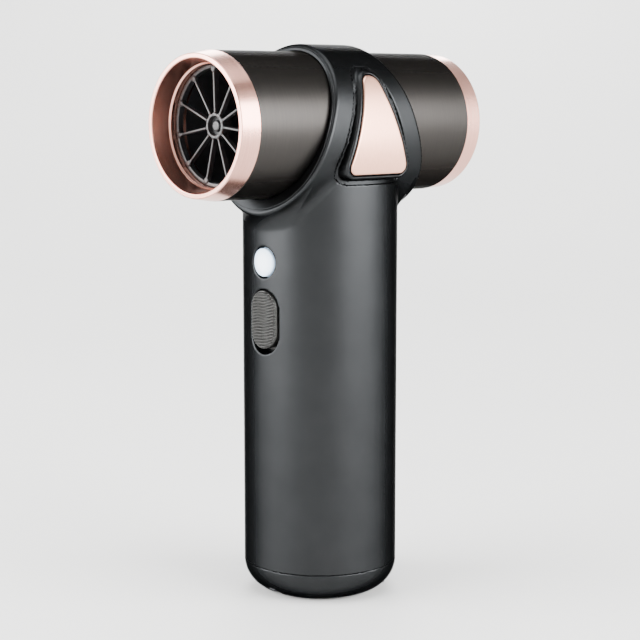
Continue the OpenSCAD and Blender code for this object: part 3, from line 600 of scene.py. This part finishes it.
def trim_face(x, up):
    """Distance outside the plates' common face, on either side of the collar."""
    return np.hypot(np.abs(x) + FACE_BACK, up + FACE_LOW) - (TRIM_OUT + FACE_BACK - PLATE_PROUD)


print(f"trim from {TRIM_BOTTOM:.1f} mm below the axis, out to {TRIM_OUT:.1f} mm")

# %% [markdown]
# The housing is one shell: a round handle, a collar round the barrel, and a
# flare that leads one into the other. On the real object it is a blasted
# casting or moulding whose inside corners are all filleted. The flare's
# fillet grows from half a millimetre at the sides to 5 mm at the ends, which
# is what gives the neck its saddle shape. The collar's end faces lean 19
# degrees, so it is longer at the bottom than at the top.

# %% Housing
LEAN = math.tan(math.radians(19))
COLLAR_HALF = 15.3
COLLAR_TOP_R, COLLAR_GROWS = 20.1, 1.7
HANDLE_WALL, CAVITY_TOP = 2.4, AXIS - 20.7
BUTTON_HOLE_R = 3.95
ISLAND_RIM, ISLAND_INSIDE = 1.1, 14
GROOVE_AT, GROOVE_HALF, GROOVE_DEEP = 1.95, 0.55, 0.6
POCKET_GAP, POCKET_DEEP, BORE_GAP = 0.3, 1.05, 0.15


def collar_radius(up):
    """The collar grows from 20.1 mm at the top to 21.8 mm below."""
    low = np.clip(0.1 - up / 20, 0, 1)
    return COLLAR_TOP_R + COLLAR_GROWS * low * low * (3 - 2 * low)


def slot_hole(x, z):
    """Opening that the slider moves in, 0.35 mm clear of it all round."""
    middle, line = SLIDER_Z - SLIDER_TRAVEL / 2, PAD_LINE + SLIDER_TRAVEL / 2 + SLOT_END - SLOT_GAP
    return np.hypot(x, np.maximum(np.abs(z - middle) - line, 0)) - PAD_R - SLOT_GAP


def housing(x, y, z):
    up = z - AXIS
    collar = np.hypot(x, up) - collar_radius(up)
    handle = np.maximum(np.hypot(x, y) - HANDLE_R, up + 1)
    fillet = 0.5 + 4.5 * np.clip((np.abs(y) - 8) / 10, 0, 1) ** 2
    shape = np.maximum(fillet, np.minimum(collar, handle)) - np.hypot(
        np.maximum(fillet - collar, 0), np.maximum(fillet - handle, 0))
    ends = (np.abs(y) - COLLAR_HALF + LEAN * up) * math.cos(math.atan(LEAN))
    shape = carve(shape, ends, 0.9)
    outline, face = trim_outline(y, up), trim_face(x, up)
    wall = outline - ISLAND_RIM - 0.3 * np.clip(-face, 0, 3)
    island = np.maximum(carve(wall, face, 0.6), ISLAND_INSIDE - np.abs(x))
    shape = melt(shape, island, 0.3)
    # A groove follows the island's foot and runs out beside its top.
    groove = np.maximum(np.abs(outline - GROOVE_AT) - GROOVE_HALF, ISLAND_INSIDE - np.abs(x))
    deep = GROOVE_DEEP * np.clip((11 - up) / 3, 0, 1)
    shape = carve(shape, np.minimum(-groove, shape + deep), 0.3)
    pocket = np.maximum(np.maximum(outline - POCKET_GAP, -face - POCKET_DEEP), ISLAND_INSIDE - np.abs(x))
    shape = carve(shape, -pocket, 0.35)
    shape = carve(shape, BARREL_R + BORE_GAP - np.hypot(x, up), 0.4)
    cavity = np.maximum(np.hypot(x, y) - HANDLE_R + HANDLE_WALL, z - CAVITY_TOP)
    shape = np.maximum(shape, -cavity)
    front = y + 10
    shape = carve(shape, -np.maximum(slot_hole(x, z), front), 0.45)
    shape = carve(shape, -np.maximum(np.hypot(x, z - BUTTON_Z) - BUTTON_HOLE_R, front), 0.4)
    return carve(shape, SEAM + 0.05 - z, 0.12)


moulded(
    "housing_shell", housing,
    lines((-22.8, 22.8, 0.42)), lines((-24.4, 24.4, 0.42)),
    lines((7.55, 9.4, 0.2), (9.4, 61, 3.2), (61, 98, 0.44), (98, TOP + 0.9, 0.38)),
    "housing", "gunmetal", stands_for=["body_shell"])

# %% [markdown]
# Each end face of the collar carries a thin lip band round the barrel. It
# stands 0.22 mm proud and stops short of the edge, and the step between them
# is the fine line that runs round the face. The band is swept round the
# barrel with its section sheared to the leaning face.

# %% Lip bands on the collar's end faces
def lip_band(name, side):
    """A flat band on one leaning end face; side is 1 for the intake and -1 for the outlet."""
    angles = np.linspace(0, 2 * np.pi, 160, endpoint=False)
    points, normals, rings = [], [], 0
    for angle in angles:
        outer = collar_radius(collar_radius(0) * math.cos(angle)) - 0.85
        section, outward = filleted([(-0.6, BARREL_R + 0.2, 0.1), (0.22, BARREL_R + 0.2, 0.2),
                                     (0.22, outer, 0.2), (-0.6, outer, 0.1)][::-1], 4)
        rings = len(section)
        for (s, r), (out_s, out_r) in zip(section, outward):
            up = r * math.cos(angle)
            points.append([r * math.sin(angle), side * (COLLAR_HALF - LEAN * up + s), AXIS + up])
            normals.append([out_r * math.sin(angle), side * out_s, out_r * math.cos(angle) + LEAN * out_s])
    number = np.arange(len(points)).reshape(len(angles), rings)
    quads = np.stack([number, np.roll(number, -1, 1), np.roll(np.roll(number, -1, 1), -1, 0),
                      np.roll(number, -1, 0)], -1).reshape(-1, 4)
    if side < 0:
        quads = quads[:, ::-1]
    normals = np.array(normals)
    normals /= np.linalg.norm(normals, axis=1, keepdims=True)
    return add_piece(name, points, quads, "housing", "gunmetal", normals=normals)


lip_band("collar_lip_outlet", -1)
lip_band("collar_lip_intake", 1)

# %% [markdown]
# The base cap closes the handle. Its edge is rounded by 8 mm, and it meets
# the shell in a seam that is only a hairline. Underneath are three screw
# recesses and the mouth of the charging socket.

# %% Base cap
BASE_ROUND = 8
BASE_SCREW_AT, RECESS_R, SCREW_HOLE_R = 15.7, 2, 1.1
PORT_SIDE, PORT_R = 2.85, 1.75


def base_cap_shape(x, y, z):
    r = np.hypot(x, y)
    corner = np.hypot(np.maximum(r - HANDLE_R + BASE_ROUND, 0), np.maximum(BASE_ROUND - z, 0)) - BASE_ROUND
    outside = np.maximum(np.where(z < BASE_ROUND, corner, r - HANDLE_R), -z)
    outside = carve(outside, z - SEAM, 0.12)
    spigot = np.maximum(r - HANDLE_R + 2.5, z - SEAM - 3)
    shape = np.minimum(outside, np.maximum(spigot, 4 - z))
    hollow = np.minimum(np.maximum(r - 12.5, 3 - z), np.maximum(r - 16.2, 5.6 - z))
    shape = np.maximum(shape, -hollow)
    for angle in (30, 150, 270):
        a = math.radians(angle)
        from_screw = np.hypot(x - BASE_SCREW_AT * math.cos(a), y - BASE_SCREW_AT * math.sin(a))
        recess = np.minimum(np.maximum(from_screw - RECESS_R, z - 3.4), from_screw - SCREW_HOLE_R)
        shape = carve(shape, -recess, 0.3)
    port = np.hypot(np.maximum(np.abs(x) - PORT_SIDE, 0), y) - PORT_R
    return carve(shape, -port, 0.3)


moulded("base_cap_turned", base_cap_shape,
        lines((-20.8, 20.8, 0.5)), lines((-20.8, 20.8, 0.5)), lines((-0.6, 11.8, 0.36)),
        "housing", "gunmetal", stands_for=["base_cap"])

# %% [markdown]
# The barrel is a plain tube, turned and anodised, with edges broken by an
# eighth of a millimetre so that its joints with the end rings read as lines.

# %% Barrel tube
BORE_R = BARREL_R - 1.5
turned("barrel_tube", [(-TUBE_END, BORE_R, 0.1), (TUBE_END, BORE_R, 0.1),
                       (TUBE_END, BARREL_R, 0.15), (-TUBE_END, BARREL_R, 0.15)],
       "housing", "gunmetal_barrel", around=240, stands_for=["barrel"])

# %% [markdown]
# The outlet ring tapers towards its lip, so that a soft nozzle pushes over
# it. Inside, its wall closes in on the grille and ends in a narrow bright
# step. The intake ring has a straight band, a thin bead round its face, and
# a dish that leads the air in. Both are turned and dyed rose gold.

# %% End rings
RING_BAND, THROAT_R, DUCT_R = 5.3, 14.9, 15
turned(
    "outlet_end_ring",
    [(32.1, THROAT_R, 0.1), (37.0, THROAT_R, 0.1), (37.35, 15.3, 0.12), (LIP, 16.2, 0.3), (LIP, 17.4, 0.3),
     (LIP - RING_BAND, BARREL_R, 0.12), (LIP - RING_BAND, BORE_R - 0.05, 0.1), (32.1, BORE_R - 0.05, 0.1)],
    "housing", "rose_gold", along="-Y", around=240, stands_for=["outlet_ring"])
BAND_R = BARREL_R - 0.2
turned(
    "intake_end_ring",
    [(33.6, DUCT_R, 0.1), (39.3, DUCT_R, 0.4), (LIP - 0.75, 16.75, 0.12), (LIP - 0.75, 17.05, 0.1),
     (LIP, 17.15, 0.18), (LIP, BAND_R, 0.4), (TUBE_END, BAND_R, 0.1),
     (TUBE_END, BORE_R - 0.05, 0.1), (33.6, BORE_R - 0.05, 0.1)],
    "housing", "rose_gold", along="Y", around=240, stands_for=["intake_ring"])

# %% [markdown]
# Behind the outlet's lip a moulded grille keeps fingers out: a rim, a cupped
# hub and eleven thin spokes, with a small swelling where each spoke meets
# the rim, because that is where the plastic flows in. One distance makes
# all the spokes: the angle is folded onto the nearest one.

# %% Outlet grille
SPOKES, SPOKE_W, FIRST_SPOKE = 11, 0.6, math.radians(92)
GRILLE_HUB_R, GRILLE_RIM_IN, GRILLE_RIM_OUT = 3.1, 13.9, 14.88
GRILLE_FACE = span("outlet_grille")[0][1] + 0.2


def grille_shape(x, y, z):
    up, deep = z - AXIS, y - GRILLE_FACE
    r = np.hypot(x, up)
    turn = 2 * np.pi / SPOKES
    angle = np.mod(np.arctan2(up, x) - FIRST_SPOKE + turn / 2, turn) - turn / 2
    beside, along = r * np.sin(angle), r * np.cos(angle)
    spoke = carve(np.abs(beside) - SPOKE_W / 2, np.abs(deep - 0.75) - 0.75, 0.25)
    spoke = np.maximum(spoke, np.maximum(2.6 - along, along - 14.4))
    rim = carve(carve(GRILLE_RIM_IN - r, r - GRILLE_RIM_OUT, 0.3), np.abs(deep - 0.9) - 0.9, 0.3)
    swelling = np.hypot(np.hypot(beside, along - 13.7), deep - 0.25) - 0.75
    hub = carve(r - GRILLE_HUB_R, np.maximum(-0.2 - deep, deep - 3), 0.3)
    hub = carve(hub, -np.maximum(r - 2.4, deep - 1.2), 0.25)
    boss = carve(r - 1.3, 0.2 - deep, 0.5)
    boss = np.maximum(boss, deep - 2)
    shape = melt(melt(rim, spoke, 0.5), np.maximum(swelling, -deep - 0.2), 0.3)
    return melt(melt(shape, hub, 0.5), boss, 0.3)


moulded("outlet_grille_moulding", grille_shape, lines((-15.1, 15.1, 0.21)),
        lines((GRILLE_FACE - 0.7, GRILLE_FACE + 3.4, 0.19)),
        lines((AXIS - 15.1, AXIS + 15.1, 0.21)),
        "housing", "black_plastic", stands_for=["outlet_grille"])

# %% [markdown]
# The trim plates drop into their islands with a dark gap of 0.3 mm all
# round. Stamping rounds the front edge, and brushing takes the last of it.

# %% Side trim plates
def trim_plate(name, side, node):
    """A plate on one side, between two depths of the common face."""
    def plate(x, y, z):
        up = z - AXIS
        face = trim_face(x, up)
        flat = carve(trim_outline(y, up), face - PLATE_PROUD, 0.45)
        return np.maximum(np.maximum(flat, -face - 1.0), 12 - side * x)

    xs = lines((15.5, 22.2, 0.25))
    return moulded(name, plate, xs if side > 0 else -xs[::-1], lines((-12.2, 12.2, 0.27)),
                   lines((AXIS - 13.2, AXIS + 13.2, 0.27)), "housing", "rose_gold",
                   finish=FINISH["rose_gold_trim"], stands_for=[node])


trim_plate("trim_plate_left", -1, "trim_left")
trim_plate("trim_plate_right", 1, "trim_right")

# %% [markdown]
# The fan is one moulding: a hub that widens from the nose to the back, and
# ten curved blades. A blade is a stack of thin rounded sections. Each section
# is bent along an arc, set at 28 degrees at the root and turned 24 degrees
# flatter by the tip, because the tip moves faster through the air. The
# stack's radius is measured from the axis, so the tips follow the duct.

# %% Fan
FAN_BACK, HUB_FRONT = span("impeller")[0][1], span("impeller")[1][1]
NOSE_R = span("nose_cap")[1][0]
BLADES, FAN_TIP, BLADE_DEPTH, BLADE_T = 10, 14.55, 9, 0.9
BLADE_PITCH, BLADE_TWIST, FIRST_BLADE = 28, 24, 4
BLADE_MIDDLE = (FAN_BACK + HUB_FRONT + 1.2) / 2 - 0.5


def blade(number, ribs=28, stations=14):
    """Points and faces of one blade; ribs go round the section, stations out to the tip."""
    root = NOSE_R - 0.8
    bend = 0.95 * BLADE_DEPTH
    loop = np.linspace(0, 2 * np.pi, ribs, endpoint=False)
    along = math.asin(BLADE_DEPTH / 2 / bend) * np.cos(loop)
    thick = bend + BLADE_T / 2 * np.sign(np.sin(loop)) * np.abs(np.sin(loop)) ** 0.7
    flat_x, flat_y = bend - thick * np.cos(along), thick * np.sin(along)
    radius = np.linspace(root + 0.3, FAN_TIP, stations)[:, None]
    set_at = -np.radians(BLADE_PITCH - BLADE_TWIST * (radius - root) / (FAN_TIP - root + 0.5))
    across = flat_x * np.cos(set_at) - flat_y * np.sin(set_at)
    depth = flat_x * np.sin(set_at) + flat_y * np.cos(set_at)
    out = np.sqrt(radius ** 2 - across ** 2)
    turn = math.radians(FIRST_BLADE + 360 / BLADES * number)
    x = out * math.cos(turn) + across * math.sin(turn)
    up = out * math.sin(turn) - across * math.cos(turn)
    points = np.stack([x, BLADE_MIDDLE + depth, AXIS + up], -1).reshape(-1, 3)
    at = np.arange(ribs * stations).reshape(stations, ribs)
    faces = [[at[s, k], at[s, (k + 1) % ribs], at[s + 1, (k + 1) % ribs], at[s + 1, k]]
             for s in range(stations - 1) for k in range(ribs)]
    for s in (0, stations - 1):
        cap = [[at[s, k], at[s, k + 1], at[s, -k - 1], at[s, -k]] for k in range(1, ribs // 2 - 1)]
        cap += [[at[s, 0], at[s, 1], at[s, -1]],
                [at[s, ribs // 2 - 1], at[s, ribs // 2], at[s, ribs // 2 + 1]]]
        faces += cap if s else [face[::-1] for face in cap]
    return points, faces


blade_points, blade_faces = [], []
for number in range(BLADES):
    points, faces = blade(number)
    blade_faces += [[f + len(points) * number for f in face] for face in faces]
    blade_points.append(points)
add_piece("fan_blades", np.concatenate(blade_points), blade_faces, "fan", "fan_black",
          stands_for=["impeller"])
turned(
    "fan_hub",
    [(HUB_FRONT - 1.2, 0, 0), (HUB_FRONT, 0, 0), (HUB_FRONT, NOSE_R, 0.1), (HUB_FRONT - 3, NOSE_R, 2),
     (FAN_BACK + 1, 6, 2), (FAN_BACK, 6, 0.2), (FAN_BACK, 1.55, 0.1), (HUB_FRONT - 1.2, 1.55, 0.1)],
    "fan", "fan_black", around=96, stands_for=["impeller"])

# %% [markdown]
# The nose cap snaps on the front of the hub. A fine groove near its edge and
# a slight crown keep it from looking like a cut-off rod.

# %% Nose cap
NOSE_FACE = span("nose_cap")[1][1]
turned(
    "fan_nose_cap",
    [(HUB_FRONT + 0.02, 0, 0), (NOSE_FACE + 0.2, 0, 0), (NOSE_FACE, NOSE_R - 1, 0.2),
     (NOSE_FACE - 0.35, NOSE_R - 0.9, 0.08), (NOSE_FACE - 0.35, NOSE_R - 0.55, 0.08),
     (NOSE_FACE, NOSE_R - 0.42, 0.12), (NOSE_FACE, NOSE_R, 0.25), (HUB_FRONT + 0.02, NOSE_R, 0.1)],
    "fan", "fan_black", around=96, stands_for=["nose_cap"])

# %% [markdown]
# Behind the fan, light falls on the fairing that leads the air round the
# motor. It is turned and polished, so it is what shines between the blades.

# %% Motor fairing
fairing_low, fairing_high = span("motor_nose")
turned(
    "motor_fairing",
    [(fairing_low[1], 2.5, 0.1), (fairing_high[1], 2.5, 0.1), (fairing_high[1], 6, 0.3),
     (fairing_high[1] - 2, 7.2, 3), (fairing_low[1] + 5, fairing_high[0] - 1, 4),
     (fairing_low[1], fairing_high[0], 0.1)],
    "housing", "bright_aluminium", around=96, stands_for=["motor_nose"])

# %% [markdown]
# The power button is a small cap whose face follows the handle. It keeps the
# finish of a lit lens, and its edge is softly rounded.

# %% Power button
button_low, button_high = span("power_button")


def button_shape(x, y, z):
    from_middle = np.hypot(x, z - BUTTON_Z)
    cap = carve(carve(from_middle - BUTTON_R, np.hypot(x, y) + button_low[1], 0.5), y + 15, 0.2)
    flange = np.maximum(from_middle - BUTTON_R - 1.25, np.abs(y + 15.85) - 0.45)
    stem = np.maximum(from_middle - 1, np.maximum(y - button_high[1], -y - 16))
    return np.minimum(np.minimum(cap, flange), stem)


moulded("power_button_cap", button_shape, lines((-5.4, 5.4, 0.18)),
        lines((button_low[1] - 0.6, button_high[1] + 0.6, 0.18)),
        lines((BUTTON_Z - 5.4, BUTTON_Z + 5.4, 0.18)),
        "button", "lens", stands_for=["power_button"])

# %% [markdown]
# The speed slider is a thumb pad with fine ribs across it, 0.75 mm apart.
# Each rib is a wave: it climbs from the left edge, runs level in the middle
# and climbs again to the right. They are cut into the pad's outer 0.45 mm.

# %% Speed slider
RIB_PITCH, RIB_DEPTH = 0.75, 0.45


def slider_shape(x, y, z):
    pad = np.hypot(x, np.maximum(np.abs(z - SLIDER_Z) - PAD_LINE, 0)) - PAD_R
    wave = 0.7 * np.sin(1.3 * np.clip(x / 3.6, -1.2, 1.2)) ** 3
    rib = 0.5 + 0.5 * np.cos(2 * np.pi / RIB_PITCH * (z - SLIDER_Z - wave))
    ribbed = np.clip((-pad - 0.15) / 0.3, 0, 1) * np.clip((rib - 0.1) / 0.7, 0, 1)
    face = np.hypot(x, y) + PAD_LOW[1] + RIB_DEPTH * (1 - ribbed)
    knob = carve(carve(pad, face, 0.35), y + 15.5, 0.2)
    flange = np.maximum(pad - FLANGE_RIM, np.abs(y + 15.85) - 0.45)
    lever_hole = np.hypot(x, z - SLIDER_Z) - 0.75
    return np.maximum(np.minimum(knob, flange), -np.maximum(lever_hole, -y - 17.7))


moulded("speed_slider_pad", slider_shape, lines((-5.8, 5.8, 0.2)),
        lines((PAD_LOW[1] - 0.5, -15, 0.2)),
        lines((SLIDER_Z - 8.6, SLIDER_Z + 8.6, 0.1)),
        "slider", "slider_grey", stands_for=["speed_slider"])

# %% [markdown]
# The pieces inside keep their CAD shapes, which are already right, and take
# the finish that the record names for them.

# %% Finishes of the carried-over CAD pieces
slot_of = {part["node"]: part["material_slot"] for part in frame["record"]["subparts"]}
kept = [name for name, node in frame["nodes"].items() if not node.hide_render]
for name in kept:
    node = frame["nodes"][name]
    if not node.material_slots:
        node.data.materials.append(None)
    for place in node.material_slots:
        place.material = FINISH[slot_of[name]]
print(len(kept), "CAD pieces kept:", ", ".join(sorted(kept)))

# %% [markdown]
# The studio is a pale floor that curves up all round into a pale wall, so
# the background stays quiet. Soft boxes stand nearer than the wall: two wide
# ones beside the blower draw the upright streaks on the handle, one above
# lights the barrel and the collar, and a small one lights the far side.

# %% Studio
def studio_floor(radius=2.0, rise=2.2, bend=1.5, around=96):
    """A round floor with a swept wall, as one open surface."""
    section = [(0.0, 0.0), (0.4, 0.0), (radius - bend, 0.0)]
    section += [(radius - bend + bend * math.sin(a), bend - bend * math.cos(a))
                for a in np.linspace(0.1, math.pi / 2, 16)]
    section.append((radius, rise))
    angles = np.linspace(0, 2 * np.pi, around, endpoint=False)
    points = [(r * math.cos(a), r * math.sin(a), z) for a in angles for r, z in section[1:]] + [(0, 0, 0)]
    rings, last = len(section) - 1, len(points) - 1
    faces = [[last, i * rings, (i + 1) % around * rings] for i in range(around)]
    for i in range(around):
        here, there = i * rings, (i + 1) % around * rings
        faces += [[here + k, here + k + 1, there + k + 1, there + k] for k in range(rings - 1)]
    mesh = bpy.data.meshes.new("studio_floor")
    mesh.from_pydata(points, [], faces)
    mesh.polygons.foreach_set("use_smooth", np.ones(len(mesh.polygons), bool))
    floor = bpy.data.objects.new("studio_floor", mesh)
    bpy.context.scene.collection.objects.link(floor)
    return floor


def soft_box(name, position, aim, width, height, power):
    """A rectangular lamp with a diffuser, facing a point."""
    lamp = bpy.data.lights.new(name, "AREA")
    lamp.shape, lamp.size, lamp.size_y, lamp.energy = "RECTANGLE", width, height, power
    box = bpy.data.objects.new(name, lamp)
    box.location = position
    away = Vector([p - a for p, a in zip(position, aim)])
    box.rotation_euler = away.to_track_quat("Z", "Y").to_euler()
    box.visible_camera = False  # the diffuser still shows in reflections
    bpy.context.scene.collection.objects.link(box)
    return box


floor = studio_floor()
paper, paper_tree, paper_shader, paper_place = new_finish("paper_matt_white", Roughness=0.9)
fibres = add(paper_tree, "TexNoise", {"Scale": 3.0, "Detail": 2.0}, {"Vector": paper_place})
paper_tint = add(paper_tree, "ValToRGB", {"stops": [(0.3, "d6d6d5"), (0.7, "dadad9")]},
                 {"Fac": fibres.outputs["Fac"]})
paper_tree.links.new(paper_tint.outputs["Color"], paper_shader.inputs["Base Color"])
floor.data.materials.append(paper)

world = bpy.data.worlds.new("studio_air")
world.use_nodes = True
world.node_tree.nodes["Background"].inputs["Color"].default_value = (1.0, 1.0, 1.0, 1)
world.node_tree.nodes["Background"].inputs["Strength"].default_value = 0.28
bpy.context.scene.world = world
middle = (0, 0, 0.09)
lamps = [
    soft_box("soft_box_left", (-0.38, -0.81, 0.3), middle, 0.9, 0.7, 40),
    soft_box("soft_box_right", (0.9, 0.285, 0.3), middle, 1.0, 0.7, 46),
    soft_box("soft_box_above", (0.0, 0.0, 1.8), middle, 1.6, 1.6, 50),
    soft_box("soft_box_behind", (-0.9, 0.95, 0.8), middle, 0.6, 0.6, 18),
]
print("lamps, W:", [lamp.data.energy for lamp in lamps])

# %% [markdown]
# The looks must not change the blower's size. The CAD's own size is written here.

# %% Sizes, and the end
print("CAD size, mm:   ", [round(1000 * (b - a), 1) for a, b in zip(cad_low, cad_high)])
